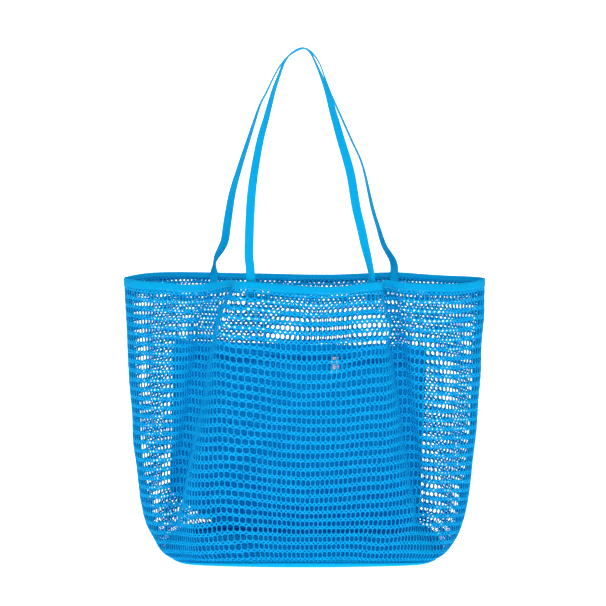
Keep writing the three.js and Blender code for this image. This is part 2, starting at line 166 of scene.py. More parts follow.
def swept(name, rings, uv, material, closed):
    """A solid swept through rings of points: closed on itself, or with flat ends.

    rings and uv hold one array for each point of the section, with a row for each step along it.
    """
    rings = np.stack(rings, axis=1)
    uv = np.stack(uv, axis=1)
    count, sides = rings.shape[:2]
    faces = grid_faces(count, sides, round_rows=closed, round_columns=True)
    if not closed:
        faces += [tuple(range(sides))[::-1], tuple(range((count - 1) * sides, count * sides))]
    obj = mesh_object(name, rings.reshape(-1, 3), faces, material)
    set_uv(obj, np.asarray(uv).reshape(-1, 2) / MM)
    return obj


# ---- Curves and grids of points ----
def unit(vectors):
    """The same directions, each of length 1."""
    return vectors / np.linalg.norm(vectors, axis=-1, keepdims=True)


def lengths_along(points):
    """How far along a line of points each one is."""
    steps = np.linalg.norm(np.diff(points, axis=0), axis=1)
    return np.concatenate([[0.0], np.cumsum(steps)])


def resample(points, count):
    """Evenly spaced points along a line of points."""
    points = np.asarray(points, float)
    along = lengths_along(points)
    wanted = np.linspace(0, along[-1], count)
    return np.stack([np.interp(wanted, along, points[:, k]) for k in range(points.shape[1])], axis=1)


def smoothed(grid, axis, times):
    """Each inner point moves half way to the middle of its two neighbours along an axis."""
    grid = np.moveaxis(grid.copy(), axis, 0)
    for _ in range(times):
        grid[1:-1] = 0.5 * grid[1:-1] + 0.25 * (grid[:-2] + grid[2:])
    return np.moveaxis(grid, 0, axis)


def smoothed_loop(points, times):
    """Each point of a closed line moves half way to the middle of its two neighbours."""
    for _ in range(times):
        points = 0.5 * points + 0.25 * (np.roll(points, 1, axis=0) + np.roll(points, -1, axis=0))
    return points


def smooth_curve(stops, per_span):
    """A Catmull-Rom curve through rows of numbers."""
    stops = np.asarray(stops, float)
    padded = np.vstack([2 * stops[0] - stops[1], stops, 2 * stops[-1] - stops[-2]])
    t = np.linspace(0, 1, per_span, endpoint=False)[:, None]
    spans = []
    for a, b, c, d in zip(padded, padded[1:], padded[2:], padded[3:]):
        bend = (2 * a - 5 * b + 4 * c - d) * t**2 + (3 * b - a - 3 * c + d) * t**3
        spans.append(0.5 * (2 * b + (c - a) * t + bend))
    return np.vstack([*spans, stops[-1:]])


def on_grid(grid, s, t):
    """The grid's point at s across and t up, both from 0 to 1."""
    rows, columns = grid.shape[:2]
    y = np.clip(t, 0, 1) * (rows - 1)
    x = np.clip(s, 0, 1) * (columns - 1)
    i = np.minimum(y.astype(int), rows - 2)
    j = np.minimum(x.astype(int), columns - 2)
    fy = (y - i)[..., None]
    fx = (x - j)[..., None]
    low = grid[i, j] * (1 - fx) + grid[i, j + 1] * fx
    high = grid[i + 1, j] * (1 - fx) + grid[i + 1, j + 1] * fx
    return low * (1 - fy) + high * fy


def surface_normals(grid):
    """The direction out of a grid's surface at each of its points: to the front on the front wall."""
    return unit(np.cross(np.gradient(grid, axis=1), np.gradient(grid, axis=0)))


# ---- The wall, cut from the frame's net panels ----
def welded(node):
    """A node's points, joined where they meet, and its triangles."""
    mesh = frame["nodes"][node].data
    mesh.calc_loop_triangles()
    at = np.array([v.co for v in mesh.vertices])
    points, index = np.unique(np.round(at, 6), axis=0, return_inverse=True)
    corners = np.array([t.vertices for t in mesh.loop_triangles])
    return points, index.ravel()[corners]


def level_cut(points, triangles, z):
    """The outline of a solid at height z, in order, from its leftmost point."""
    links = defaultdict(list)
    places = {}
    above = points[:, 2] > z
    for triangle in triangles[above[triangles].any(axis=1) & ~above[triangles].all(axis=1)]:
        ends = []
        for a, b in ((0, 1), (1, 2), (2, 0)):
            p, q = sorted((triangle[a], triangle[b]))
            if above[p] != above[q]:
                share = (z - points[p, 2]) / (points[q, 2] - points[p, 2])
                places[p, q] = points[p] + share * (points[q] - points[p])
                ends.append((p, q))
        links[ends[0]].append(ends[1])
        links[ends[1]].append(ends[0])
    start = min(places, key=lambda rise_and_flank_shade: places[rise_and_flank_shade][0])
    order = [start]
    came, here = start, links[start][0]
    while here != start:
        order.append(here)
        came, here = here, next(rise_and_flank_shade for rise_and_flank_shade in links[here] if rise_and_flank_shade != came)
    return np.array([places[rise_and_flank_shade] for rise_and_flank_shade in order])


def middle_line(outline, count):
    """The middle of a thin wall's outline, from its left end to its right end."""
    far = int(np.argmax(outline[:, 0]))
    one_face = outline[: far + 1]
    other_face = np.vstack([outline[far:], outline[:1]])[::-1]
    return (resample(one_face, count) + resample(other_face, count)) / 2


def rim_crest(front):
    """The rim's highest line on one side, as rising x and z."""
    points = welded("rim_binding")[0]
    side = points[:, 1] < 0 if front else points[:, 1] > 0
    crest = points[side & (points[:, 2] > RIM_LOW.z + 8 * MM)]
    crest = crest[np.argsort(crest[:, 0])]
    return crest[:, 0], crest[:, 2]


def wall_grid(node, front):
    """A panel's middle surface as points [up, across], evenly spaced both ways, up to the rim's crest."""
    points, triangles = welded(node)
    low = points[:, 2].min() + 0.1 * MM
    high = RIM_LOW.z + 7 * MM
    levels = low + (high - low) * np.linspace(0, 1, WALL_CUTS) ** 1.3  # closer together at the foot
    rows = np.array([middle_line(level_cut(points, triangles, z), WALL_ACROSS) for z in levels])
    rows = smoothed(smoothed(rows, 1, 10), 0, 3)
    crest = np.interp(rows[-1, :, 0], *rim_crest(front))[:, None]
    upward = (rows[-1] - rows[-6]) / (rows[-1, :, 2:] - rows[-6, :, 2:])
    top = rows[-1] + upward * (crest - rows[-1, :, 2:])
    rows = np.concatenate([rows, smoothed(top, 0, 10)[None]])
    columns = [resample(rows[:, k], WALL_UP) for k in range(WALL_ACROSS)]
    return smoothed(np.stack(columns, axis=1), 1, 3)


def ridge(x, z, start, end, half_width):
    """A soft ridge along a line: 1 on the line, and fading to its sides and past its ends."""
    line = np.subtract(end, start)
    length = np.hypot(*line)
    along = ((x - start[0]) * line[0] + (z - start[1]) * line[1]) / length
    aside = ((x - start[0]) * line[1] - (z - start[1]) * line[0]) / length
    past = np.maximum(0, np.maximum(-along, along - length))
    return np.exp(-((aside / half_width) ** 2)) * np.exp(-((past / (2.5 * half_width)) ** 2))


# Creases on each panel: start and end as (x, z), half width and height, in millimetres.
FRONT_CREASES = [
    ((-96, 345), (-146, 75), 8, 4.5),
    ((-120, 340), (-166, 75), 9, -8.0),
    ((92, 345), (130, 75), 8, 4.0),
    ((108, 340), (148, 75), 9, -8.0),
    ((92, 300), (-55, 175), 15, 5.0),
    ((70, 262), (-75, 140), 13, -4.5),
    ((-60, 330), (-25, 235), 10, -2.5),
    ((60, 335), (20, 250), 11, -2.5),
    ((-150, 60), (-90, 26), 10, 3.5),
    ((-105, 70), (-60, 20), 9, -2.5),
    ((130, 70), (90, 26), 11, 2.5),
    ((-205, 320), (-170, 130), 16, -3.0),
    ((205, 320), (186, 120), 18, -3.0),
    ((150, 330), (168, 200), 12, 2.5),
]
BACK_CREASES = [
    ((-118, 330), (-150, 90), 16, -3.5),
    ((120, 330), (148, 100), 16, -3.5),
    ((-60, 340), (40, 230), 18, 2.5),
    ((80, 210), (-60, 110), 20, -3.0),
    ((-190, 60), (-110, 30), 12, 2.5),
    ((180, 66), (100, 26), 14, -2.5),
]


def creased(grid, creases, outward):
    """The wall with its creases and an uneven slackness, which die out at the rim and the base."""
    x = grid[..., 0] / MM
    z = grid[..., 2] / MM
    lift = np.zeros_like(x)
    for start, end, half_width, height in creases:
        lift += height * ridge(x, z, start, end, half_width)
    lift += 0.8 * np.sin(x / 17 + z / 31) * np.sin(z / 23 - x / 60 + 1.3)
    lift += 0.5 * np.sin(x / 9.5 - z / 14 + 0.4) * np.sin(z / 41 + 0.8)
    held = np.clip((z - 4) / 26, 0, 1) * np.clip((RIM_LOW.z / MM + 4 - z) / 30, 0, 1)
    return grid + outward * surface_normals(grid) * (lift * held * MM)[..., None]


FRONT_WALL = creased(wall_grid("front_net_panel", True), FRONT_CREASES, 1)
BACK_WALL = creased(wall_grid("back_net_panel", False), BACK_CREASES, -1)


def wall_loop(t, count):
    """A level line all round the bag at t of the wall's height.

    Its points, outward normals and upward directions, and its length.
    """
    loops = []
    for grid, outward in ((FRONT_WALL, 1), (BACK_WALL, -1)):
        s = np.linspace(0, 1, grid.shape[1])
        at = on_grid(grid, s, np.full_like(s, t))
        above = on_grid(grid, s, np.full_like(s, t + 0.01))
        below = on_grid(grid, s, np.full_like(s, t - 0.02))
        up = unit(above - below)
        normal = np.cross(np.gradient(at, axis=0), up) * outward
        rows = np.hstack([at, unit(normal), up])
        loops.append(rows if outward == 1 else rows[::-1])
    joined = np.vstack([loops[0], loops[1][1:-1]])
    ring = np.vstack([joined, joined[:1]])
    along = lengths_along(ring[:, :3])
    wanted = np.linspace(0, along[-1], count, endpoint=False)
    ring = np.stack([np.interp(wanted, along, ring[:, k]) for k in range(9)], axis=1)
    ring = smoothed_loop(ring, 6)
    return ring[:, :3], unit(ring[:, 3:6]), unit(ring[:, 6:9]), along[-1]


# ---- Colours and materials ----
def srgb(red, green, blue):
    """A colour given as 0 to 255 sRGB values, as the linear colour that shaders take."""
    parts = (red / 255, green / 255, blue / 255)
    linear = [c / 12.92 if c <= 0.04045 else ((c + 0.055) / 1.055) ** 2.4 for c in parts]
    return (*linear, 1.0)


class Look:
    """A material under construction. Its methods add nodes and return the socket to use next."""

    def __init__(self, name):
        self.material = bpy.data.materials.new(name)
        self.material.use_nodes = True
        self.tree = self.material.node_tree
        self.surface = self.tree.nodes["Principled BSDF"]

    def add(self, kind, inputs, **settings):
        """A new node. Each of its inputs is linked to a socket or set to a value."""
        node = self.tree.nodes.new(kind)
        for key, value in settings.items():
            setattr(node, key, value)
        for key, value in inputs.items():
            if isinstance(value, bpy.types.NodeSocket):
                self.tree.links.new(value, node.inputs[key])
            else:
                node.inputs[key].default_value = value
        return node

    def uv(self):
        """The cloth's own coordinates, in millimetres across and along it."""
        node = self.add("ShaderNodeUVMap", {}, uv_map="cloth")
        split = self.add("ShaderNodeSeparateXYZ", {0: node.outputs[0]})
        return split.outputs[0], split.outputs[1]

    def position(self):
        """Object coordinates, in metres."""
        return self.add("ShaderNodeTexCoord", {}).outputs["Object"]

    def math(self, operation, *values):
        """One step of arithmetic on sockets and numbers."""
        return self.add("ShaderNodeMath", dict(enumerate(values)), operation=operation).outputs[0]

    def wave(self, value, period, shift=0.0):
        """A sine of a value, from -1 to 1."""
        turned = self.math("MULTIPLY_ADD", value, 2 * math.pi / period, shift)
        return self.math("SINE", turned)

    def noise(self, scale, detail=2.0):
        """Soft random patches from 0 to 1. scale is about how many there are in a metre."""
        node = self.add("ShaderNodeTexNoise", {"Vector": self.position(), "Scale": scale, "Detail": detail})
        return node.outputs["Fac"]

    def between(self, factor, first, second):
        """A colour from first (at 0) to second (at 1)."""
        node = self.add("ShaderNodeMix", {0: factor, 6: first, 7: second}, data_type="RGBA")
        return node.outputs[2]

    def ranged(self, value, low, high, from_low=0.0, from_high=1.0):
        """A value moved from one range to another, and held within it."""
        node = self.add("ShaderNodeMapRange", {
            "Value": value, "To Min": low, "To Max": high, "From Min": from_low, "From Max": from_high})
        return node.outputs["Result"]

    def squared_from_middle(self, value, pitch, width):
        """How far a value is from the middle of its cell, as a share of half a hole's width, squared."""
        in_cell = self.math("FRACT", self.math("DIVIDE", value, pitch))
        aside = self.math("MULTIPLY", self.math("SUBTRACT", in_cell, 0.5), 2 * pitch / width)
        return self.math("MULTIPLY", aside, aside)

    def bump(self, height, distance, after=None):
        """A bump of this depth in metres, on top of another one if it is given."""
        inputs = {"Height": height, "Distance": distance}
        if after is not None:
            inputs["Normal"] = after
        return self.add("ShaderNodeBump", inputs).outputs["Normal"]

    def finish(self, **values):
        """Sets or links the surface's sockets, and returns the material."""
        for key, value in values.items():
            socket = self.surface.inputs[key.replace("_", " ")]
            if isinstance(value, bpy.types.NodeSocket):
                self.tree.links.new(value, socket)
            else:
                socket.default_value = value
        return self.material


def cloth_look(name, light, deep, weave, depth, roughness=0.78, sheen=0.1, contrast=0.3):
    """A cloth: its weave bumps it, and painted shade darkens the weave's hollows; it is also unevenly dyed
    and a little worn.
    """
    look = Look(name)
    height = weave(look)
    patches = look.noise(18.0, 3.0)
    fuzz = look.noise(1400.0, 2.0)
    # Painted shade: the lower the weave, the nearer the deep colour. The noise patches and fuzz add real,
    # random tone.
    shade_and_tone = look.math("MULTIPLY_ADD", height, contrast, look.ranged(patches, -0.12, 0.28))
    shade_and_tone = look.math("MULTIPLY_ADD", fuzz, 0.30, shade_and_tone)
    colour = look.between(look.math("SUBTRACT", 0.32 + contrast, shade_and_tone), light, deep)
    normal = look.bump(fuzz, 0.00010, look.bump(height, depth))
    return look.finish(
        Base_Color=colour,
        Roughness=look.ranged(patches, roughness - 0.08, roughness + 0.10),
        Normal=normal,
        Sheen_Weight=sheen,
        Sheen_Roughness=0.45,
        Sheen_Tint=srgb(30, 160, 255),
        Specular_IOR_Level=0.06,
    )


def knitted(look):
    """Chains of small loops along the strands of the net, which fall towards the big holes, with painted
    shade on the strands' flanks there.
    """
    u, v = look.uv()
    leaning = look.math("MULTIPLY_ADD", look.wave(u, 1.3), 0.35, v)
    loops = look.math("ABSOLUTE", look.wave(leaning, 1.9))
    across, up = CELL / MM
    from_hole = look.math("ADD", look.squared_from_middle(u, across, BIG_HOLE[0] / MM),
                          look.squared_from_middle(v, up, BIG_HOLE[1] / MM))
    # Painted shade: the strands darken towards the big holes' edges, where their round flanks turn from the
    # light. The same fall bumps them.
    rise_and_flank_shade = look.ranged(from_hole, 0.1, 1.0, from_low=0.95, from_high=1.7)
    return look.math("MULTIPLY", rise_and_flank_shade, look.math("MULTIPLY_ADD", loops, 0.3, 0.8))


def plain_woven(pitch):
    """Yarns that pass over and under each other, one by one."""

    def weave(look):
        u, v = look.uv()
        over = look.wave(u, 2 * pitch)
        under = look.wave(v, 2 * pitch)
        crossing = look.math("GREATER_THAN", look.math("MULTIPLY", over, under), 0.0)
        warp = look.math("MULTIPLY", look.math("ABSOLUTE", over), crossing)
        weft = look.math("MULTIPLY", look.math("ABSOLUTE", under), look.math("SUBTRACT", 1.0, crossing))
        return look.math("ADD", warp, weft)

    return weave


def ribbed(rib, pick):
    """Webbing: firm ribs along it, crossed by slanting yarns that lean the other way on the next rib."""

    def weave(look):
        u, v = look.uv()
        ribs = look.wave(u, rib)
        leaning = look.math("MULTIPLY_ADD", look.math("PINGPONG", u, rib), 1.2, v)
        yarns = look.math("ABSOLUTE", look.wave(leaning, 2 * pick))
        return look.math("MULTIPLY", yarns, look.math("MULTIPLY_ADD", ribs, 0.35, 0.65))

    return weave


def metal_look(name, colour, roughness, dull):
    """Plated or lacquered metal with fine brushing and a few dull patches."""
    look = Look(name)
    brushed = look.noise(2600.0, 2.0)
    patches = look.noise(160.0, 3.0)
    dulled = look.between(look.ranged(patches, 0.0, 0.35), colour, dull)
    return look.finish(
        Base_Color=dulled,
        Metallic=1.0,
        Roughness=look.ranged(patches, roughness - 0.06, roughness + 0.14),
        Normal=look.bump(brushed, 0.00002),
    )


def thread_look():
    """Twisted sewing thread."""
    look = Look("thread")
    u, v = look.uv()
    twist = look.wave(look.math("ADD", u, v), 0.45)
    colour = look.between(look.ranged(twist, 0.0, 0.5), srgb(10, 190, 242), srgb(0, 144, 220))
    return look.finish(Base_Color=colour, Roughness=look.ranged(look.noise(700.0), 0.35, 0.6),
                       Normal=look.bump(twist, 0.00006), Sheen_Weight=0.2)


# The net's high contrast deepens the painted shade on its strands' flanks and in its hollows.
NET = cloth_look("net", srgb(4, 164, 228), srgb(0, 118, 206), knitted, 0.00025, contrast=0.75)
TAPE = cloth_look("binding_tape", srgb(0, 163, 217), srgb(0, 141, 205), ribbed(1.1, 0.8), 0.00015)
WEBBING = cloth_look("strap_webbing", srgb(0, 168, 222), srgb(0, 144, 209), ribbed(1.4, 0.9), 0.00022)
BASE_CLOTH = cloth_look("base_cloth", srgb(8, 182, 248), srgb(0, 160, 238), plain_woven(0.55), 0.00018)
POCKET_CLOTH = cloth_look("pocket_cloth", srgb(0, 172, 246), srgb(0, 144, 230), plain_woven(0.4), 0.00014)
ZIP_TAPE = cloth_look("zip_tape", srgb(0, 150, 224), srgb(0, 120, 204), ribbed(1.0, 0.6), 0.00015)
COIL = cloth_look("zip_coil", srgb(0, 160, 228), srgb(0, 124, 206), plain_woven(0.3), 0.00002, 0.4, 0.0)
THREAD = thread_look()
METAL = metal_look("zip_metal", srgb(214, 217, 222), 0.22, srgb(150, 156, 165))
LACQUER = metal_look("lacquered_metal", srgb(0, 120, 205), 0.4, srgb(0, 84, 160))


def belongs(obj, slot, *nodes):
    """Makes a piece ride on the bag's body, and stand for these nodes of the frame."""
    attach(obj, "bag")
    if nodes:
        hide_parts(*nodes)


# ---- The net ----
RING = 12  # points round a big hole
# How much of the net's thickness there is at a big hole's edge, in the middle of a strand between two big
# holes and of a bridge between two small ones, and at a small hole's edge.
FULLNESS = [0.0, 1.0, 1.0, 0.8]
# Where the net's columns are drawn together: place across at the foot and at the rim, half width and
# strength. A negative strength is where they are drawn apart.
FRONT_GATHERS = [
    (0.16, 0.22, 0.055, 0.7), (0.19, 0.30, 0.022, 0.5), (0.81, 0.70, 0.06, 0.4),
    (0.95, 0.94, 0.06, 0.3), (0.05, 0.06, 0.06, 0.3), (0.33, 0.38, 0.05, -0.3),
]
BACK_GATHERS = [
    (0.2, 0.22, 0.05, 0.4), (0.78, 0.77, 0.05, 0.4), (0.05, 0.06, 0.07, 0.5), (0.95, 0.94, 0.07, 0.5),
]
# How far the net's rows hang below level, in millimetres, as (place across, hang).
FRONT_SAG = [
    (0, 0), (0.2, -3), (0.29, -2), (0.35, 1), (0.42, 4), (0.5, 6), (0.6, 5), (0.7, 2), (0.76, 0), (1, 5),
]
BACK_SAG = [(0, 0), (0.25, -3), (0.5, 5), (0.75, -3), (1, 0)]


def net_points(columns, rows):
    """The net's points in cells of its flat cloth, how full each strand is, and where each kind starts."""

    def lattice(across, up):
        return np.stack(np.meshgrid(across, up, indexing="ij"), axis=-1).astype(float)

    angles = np.arange(RING) * 2 * np.pi / RING
    circle = np.stack([np.cos(angles), np.sin(angles)], axis=1)
    ring = np.sign(circle) * np.abs(circle) ** HOLE_ROUNDNESS * BIG_HOLE / CELL / 2
    size = 1 + BIG_HOLE_SPREAD * RNG.standard_normal((columns, rows, 1, 1)).clip(-2, 2)
    big = lattice(np.arange(columns) + 0.5, np.arange(rows) + 0.5)[:, :, None] + ring * size
    strand = lattice(np.arange(columns + 1), np.arange(rows) + 0.5)
    bridge = lattice(np.arange(columns) + 0.5, np.arange(rows + 1))
    compass = np.array([[1, 0], [0, 1], [-1, 0], [0, -1]]) * SMALL_HOLE / CELL / 2
    size = 1 + SMALL_HOLE_SPREAD * RNG.standard_normal((columns + 1, rows + 1, 1, 1)).clip(-2, 2)
    small = lattice(np.arange(columns + 1), np.arange(rows + 1))[:, :, None] + compass * size
    kinds = [kind.reshape(-1, 2) for kind in (big, strand, bridge, small)]
    full = np.repeat(FULLNESS, [len(kind) for kind in kinds])
    starts = np.cumsum([0] + [len(kind) for kind in kinds])
    return np.concatenate(kinds), full, starts


def net_faces(columns, rows, starts):
    """Twelve quads round each big hole, out to the middles of its strands and to the small holes."""
    east, north, west, south = range(4)
    faces = []
    for i in range(columns):
        for j in range(rows):

            def corner(across, up, side):
                return starts[3] + ((i + across) * (rows + 1) + j + up) * 4 + side

            hole = [starts[0] + (i * rows + j) * RING + k % RING for k in range(RING + 1)]
            right = starts[1] + (i + 1) * rows + j
            left = starts[1] + i * rows + j
            bottom = starts[2] + i * (rows + 1) + j
            around = [
                right, corner(1, 1, south), corner(1, 1, west), bottom + 1,
                corner(0, 1, east), corner(0, 1, south), left,
                corner(0, 0, north), corner(0, 0, east), bottom,
                corner(1, 0, west), corner(1, 0, north), right,
            ]
            faces += [(hole[k], around[k], around[k + 1], hole[k + 1]) for k in range(RING)]
    return faces


def gathered(share, t, gathers):
    """Where a share of the net's columns lies across the wall, from 0 to 1, at t of its height.

    Each gather gives its place across at the foot and at the rim, its half width and its strength.
    """
    across = np.linspace(0, 1, WALL_ACROSS)
    levels = np.linspace(0, 1, GATHER_LEVELS)
    table = np.empty((len(levels), len(across)))
    for i, level in enumerate(levels):
        density = np.ones_like(across)
        for foot, rim, half_width, strength in gathers:
            centre = foot + (rim - foot) * level
            density += strength * np.exp(-(((across - centre) / half_width) ** 4))
        columns = np.concatenate([[0.0], np.cumsum((density[1:] + density[:-1]) / 2)])
        table[i] = np.interp(across, columns / columns[-1], across)
    return on_grid(table[..., None], share, t)[..., 0]


def narrowed(flat, columns, t, gathers, starts):
    """How far the big holes' points move across, so that a strand keeps its width in a gather."""
    middle = np.floor(flat[:, 0]) + 0.5
    left = gathered(np.clip((middle - 0.5) / columns, 0, 1), t, gathers)
    right = gathered(np.clip((middle + 0.5) / columns, 0, 1), t, gathers)
    pitch = np.maximum((right - left) * columns, NARROWEST_COLUMN)
    strand = 1 - BIG_HOLE[0] / CELL[0]
    hole = np.maximum(1 - strand / pitch, NARROWEST_HOLE)
    move = (flat[:, 0] - middle) * (hole / (1 - strand) - 1)
    move[starts[1]:] = 0
    return move


def net_mesh(name, points, cells, flat, full, thickness):
    """The net's solid mesh from its points in space and in its flat cloth."""
    obj = mesh_object(name, points, cells, NET)
    set_uv(obj, flat * CELL / MM)
    rounded_strands(obj, full, thickness)
    return obj


def net_panel(name, grid, columns, gathers, sag, node):
    """A panel of net, with real holes, which wanders and hangs a little out of line."""
    rows = NET_ROWS
    flat, full, starts = net_points(columns, rows)
    u, v = flat.T
    drift = np.stack([
        np.sin(0.9 * v + 0.21 * u) + np.sin(0.37 * v - 0.43 * u + 2),
        np.sin(0.33 * u + 1) + np.sin(0.13 * u + 0.5 * v),
    ], axis=1)
    inside = (np.clip(v, 0, 1) * np.clip(rows - v, 0, 1))[:, None]
    placed = flat + (0.06 * drift + 0.018 * RNG.standard_normal(flat.shape).clip(-2, 2)) * inside
    t = placed[:, 1] / rows
    level = np.clip(t, 0, 1)
    placed[:, 0] += narrowed(flat, columns, level, gathers, starts)
    across = gathered(np.clip(placed[:, 0] / columns, 0, 1), level, gathers)
    hang = np.interp(across, *np.transpose(sag)) * np.clip(4 * t, 0, 1) * np.clip(3 * (1 - t), 0, 1)
    points = on_grid(grid, across, t - hang * MM / RIM_LOW.z)
    obj = net_mesh(name, points, net_faces(columns, rows, starts), flat, full, STRAND_THICKNESS)
    belongs(obj, "net", node)
    return obj


def rounded_strands(obj, full, thickness):
    """Makes the net solid: full thickness along its strands' middles, and thin at its big holes' edges."""
    group = obj.vertex_groups.new(name="fullness")
    for share in np.unique(full):
        group.add(np.flatnonzero(full == share).tolist(), float(share), "REPLACE")
    solid = obj.modifiers.new("strands", "SOLIDIFY")
    solid.thickness = thickness
    solid.offset = 0
    solid.vertex_group = group.name
    weld = obj.modifiers.new("edges", "WELD")
    weld.merge_threshold = 0.01 * MM
    apply_modifiers(obj)


def net_hem(name, grid, columns, inward):
    """The net's turned-in top edge: a second layer, half a hole out of step with the first."""
    rows = 2
    flat, full, starts = net_points(columns, rows)
    low = 1 - HEM_DEPTH / RIM_LOW.z
    high = 1 - (RIM_TAPE_INNER_DROP - 0.5 * MM) / RIM_LOW.z
    t = low + (high - low) * flat[:, 1] / rows
    across = (flat[:, 0] + 0.5) / (columns + 1)
    aside = surface_normals(grid) * inward * HEM_INSET
    points = on_grid(grid + aside, across, t)
    obj = net_mesh(name, points, net_faces(columns, rows, starts), flat, full, HEM_THICKNESS)
    belongs(obj, "net")
    return obj


# ---- Tapes ----
def tape_round_rim():
    """The rim's tape, folded over the panels' top edge. Its section is (outwards, below the crest)."""
    at, normal, up, length = wall_loop(1.0, RIM_POINTS)
    count = len(at)
    along = np.linspace(0, length, count, endpoint=False)
    wobble = 0.35 * MM * np.sin(along / (23 * MM)) * np.sin(along / (61 * MM) + 0.7)
    half = RIM_TAPE_HALF_THICKNESS
    drop = RIM_TAPE_DROP

    def leg(depth):
        return [
            (half - 0.3 * MM, depth), (half, depth - 0.7 * MM), (half, 0.6 * depth),
            (half, 0.22 * depth), (0.75 * half, 0.5 * MM), (0.3 * half, 0),
        ]

    def lining(depth):
        return [(0.55 * half, depth - 0.1 * MM), (0.5 * half, 0.2 * depth)]

    def mirrored(points):
        return [(-aside, below) for aside, below in points]

    inner_drop = RIM_TAPE_INNER_DROP
    outside = leg(drop) + mirrored(leg(inner_drop))[::-1]
    section = outside + mirrored(lining(inner_drop)) + lining(drop)[::-1]
    rings = []
    uv = []
    for aside, below in section:
        sway = wobble * (1 + 0.5 * below / drop)
        rings.append(at + normal * (aside + sway)[:, None] - up * (below + 0.4 * wobble)[:, None])
        across = below + (0 if aside > 0 else 20 * MM)
        uv.append(np.column_stack([np.full(count, across), along]))
    obj = swept("rim_tape", rings, uv, TAPE, closed=True)
    belongs(obj, "binding_tape", "rim_binding")


def tape_along_wall(name, low, high, inward, thickness, node):
    """A flat tape on the wall's inner face, between two heights above the floor."""
    levels = np.linspace(low, high, 7)
    rows = []
    for z in levels:
        at, normal, _, length = wall_loop(z / RIM_LOW.z, BASE_TAPE_POINTS)
        lengths = np.linspace(0, length, len(at))
        rows.append(at - normal * inward)
    grid = np.stack([np.vstack([row, row[:1]]) for row in rows])
    uv = np.stack(np.meshgrid(np.append(lengths, lengths[-1] + 1 * MM), levels), axis=-1)
    obj = sheet_from_grid(name, grid, uv[..., ::-1], thickness, TAPE)
    belongs(obj, "binding_tape", node)


def seam_tape(sign, node):
    """The tape closed over a side seam's allowances. It stands inwards from the seam."""
    low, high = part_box(node)
    rise_and_flank_shade = FRONT_WALL[:, 0 if sign < 0 else -1]
    z = np.linspace(low.z, high.z, 90)
    seam_x = np.interp(z, rise_and_flank_shade[:, 2], rise_and_flank_shade[:, 0]) - sign * 1.2 * MM
    half = 0.75 * MM
    profile = [(0, -0.8), (0, 0.8), (6.8, 1.0), (7.8, 0.7), (8.0, 0.0), (7.8, -0.7), (6.8, -1.0)]
    wander = 0.9 * MM * np.sin(z / (29 * MM)) + 0.5 * MM * np.sin(z / (11 * MM) + 1)
    rings = []
    uv = []
    for reach, side in profile:
        share = reach / 8
        rings.append(np.column_stack([seam_x - sign * reach * MM, side * half + wander * share, z]))
        uv.append(np.column_stack([np.full(len(z), reach * MM), z]))
    obj = swept(f"{node}_cloth", rings, uv, TAPE, closed=False)
    belongs(obj, "binding_tape", node)


# One stitch's points as (along it, across it, out), in shares of its length and width, and its faces.
STITCH_SHAPE = [
    (-0.5, 0, -0.5), (-0.3, 0.5, 0.15), (-0.3, -0.5, 0.15), (0.3, 0.5, 0.15), (0.3, -0.5, 0.15),
    (0.5, 0, -0.5), (0, 0.5, 0.35), (0, -0.5, 0.35),
]
STITCH_FACES = [(0, 2, 1), (1, 2, 7, 6), (6, 7, 4, 3), (3, 4, 5), (0, 1, 6, 3, 5), (0, 5, 4, 7, 2)]


def stitches(name, at, along, out):
    """A row of thread stitches, from their middles, directions and outward normals."""
    count = len(at)
    aside = np.cross(out, along)
    points = []
    uv = []
    for length, width, rise in STITCH_SHAPE:
        across = aside * width + out * rise
        points.append(at + along * length * STITCH_LENGTH + across * STITCH_WIDTH)
        uv.append(np.tile([length * STITCH_LENGTH, width * STITCH_WIDTH], (count, 1)))
    points = np.stack(points, axis=1).reshape(-1, 3)
    faces = []
    for i in range(count):
        faces += [tuple(len(STITCH_SHAPE) * i + k for k in face) for face in STITCH_FACES]
    obj = mesh_object(name, points, faces, THREAD)
    set_uv(obj, np.stack(uv, axis=1).reshape(-1, 2) / MM)
    return obj


def rim_stitching():
    """One row of stitches near the tape's lower edge, outside and inside."""
    for side, name in ((1, "rim_stitches_outside"), (-1, "rim_stitches_inside")):
        length = wall_loop(1.0, RIM_POINTS)[3]
        at, normal, up, _ = wall_loop(1.0, int(length / STITCH_PITCH))
        along = unit(np.roll(at, -1, axis=0) - at)
        drop = RIM_TAPE_DROP if side > 0 else RIM_TAPE_INNER_DROP
        out = normal * side
        middles = at + out * (RIM_TAPE_HALF_THICKNESS + 0.05 * MM) - up * (drop - STITCH_MARGIN)
        obj = stitches(name, middles, along, out)
        belongs(obj, "binding_tape")


# ---- Base ----
def base_cloth():
    """The base: rings of points from its turned-up edge on the wall to the middle, a little uneven."""
    turned_up, outward = wall_loop(0.014, BASE_POINTS)[:2]
    foot = wall_loop(0.0, BASE_POINTS)[0][:, :2]
    foot = foot * (1 + 0.5 * MM / np.abs(foot).max(axis=0))
    shares = np.concatenate([np.linspace(1, 0.12, 40), [0.04]])
    rings = [turned_up + outward * 1.2 * MM]
    for share in shares:
        xy = foot * share
        x, y = xy.T / MM
        swell = 0.35 * np.sin(x / 21 + 0.5) * np.sin(y / 17 + x / 70)
        swell = swell + 0.25 * np.sin(x / 9 - y / 13)
        z = 0.95 + swell.clip(-0.35, 0.6) * (1 - share**8)
        rings.append(np.column_stack([xy, z * MM]))
    points = np.vstack(rings)
    count = len(foot)
    faces = grid_faces(len(rings), count, round_columns=True)
    faces.append(tuple(range((len(rings) - 1) * count, len(rings) * count)))
    obj = mesh_object("base_cloth", points, faces, BASE_CLOTH)
    set_uv(obj, points[:, :2] / MM)
    thickened(obj, 1.0 * MM)
    belongs(obj, "base_cloth", "base_panel")
    return obj


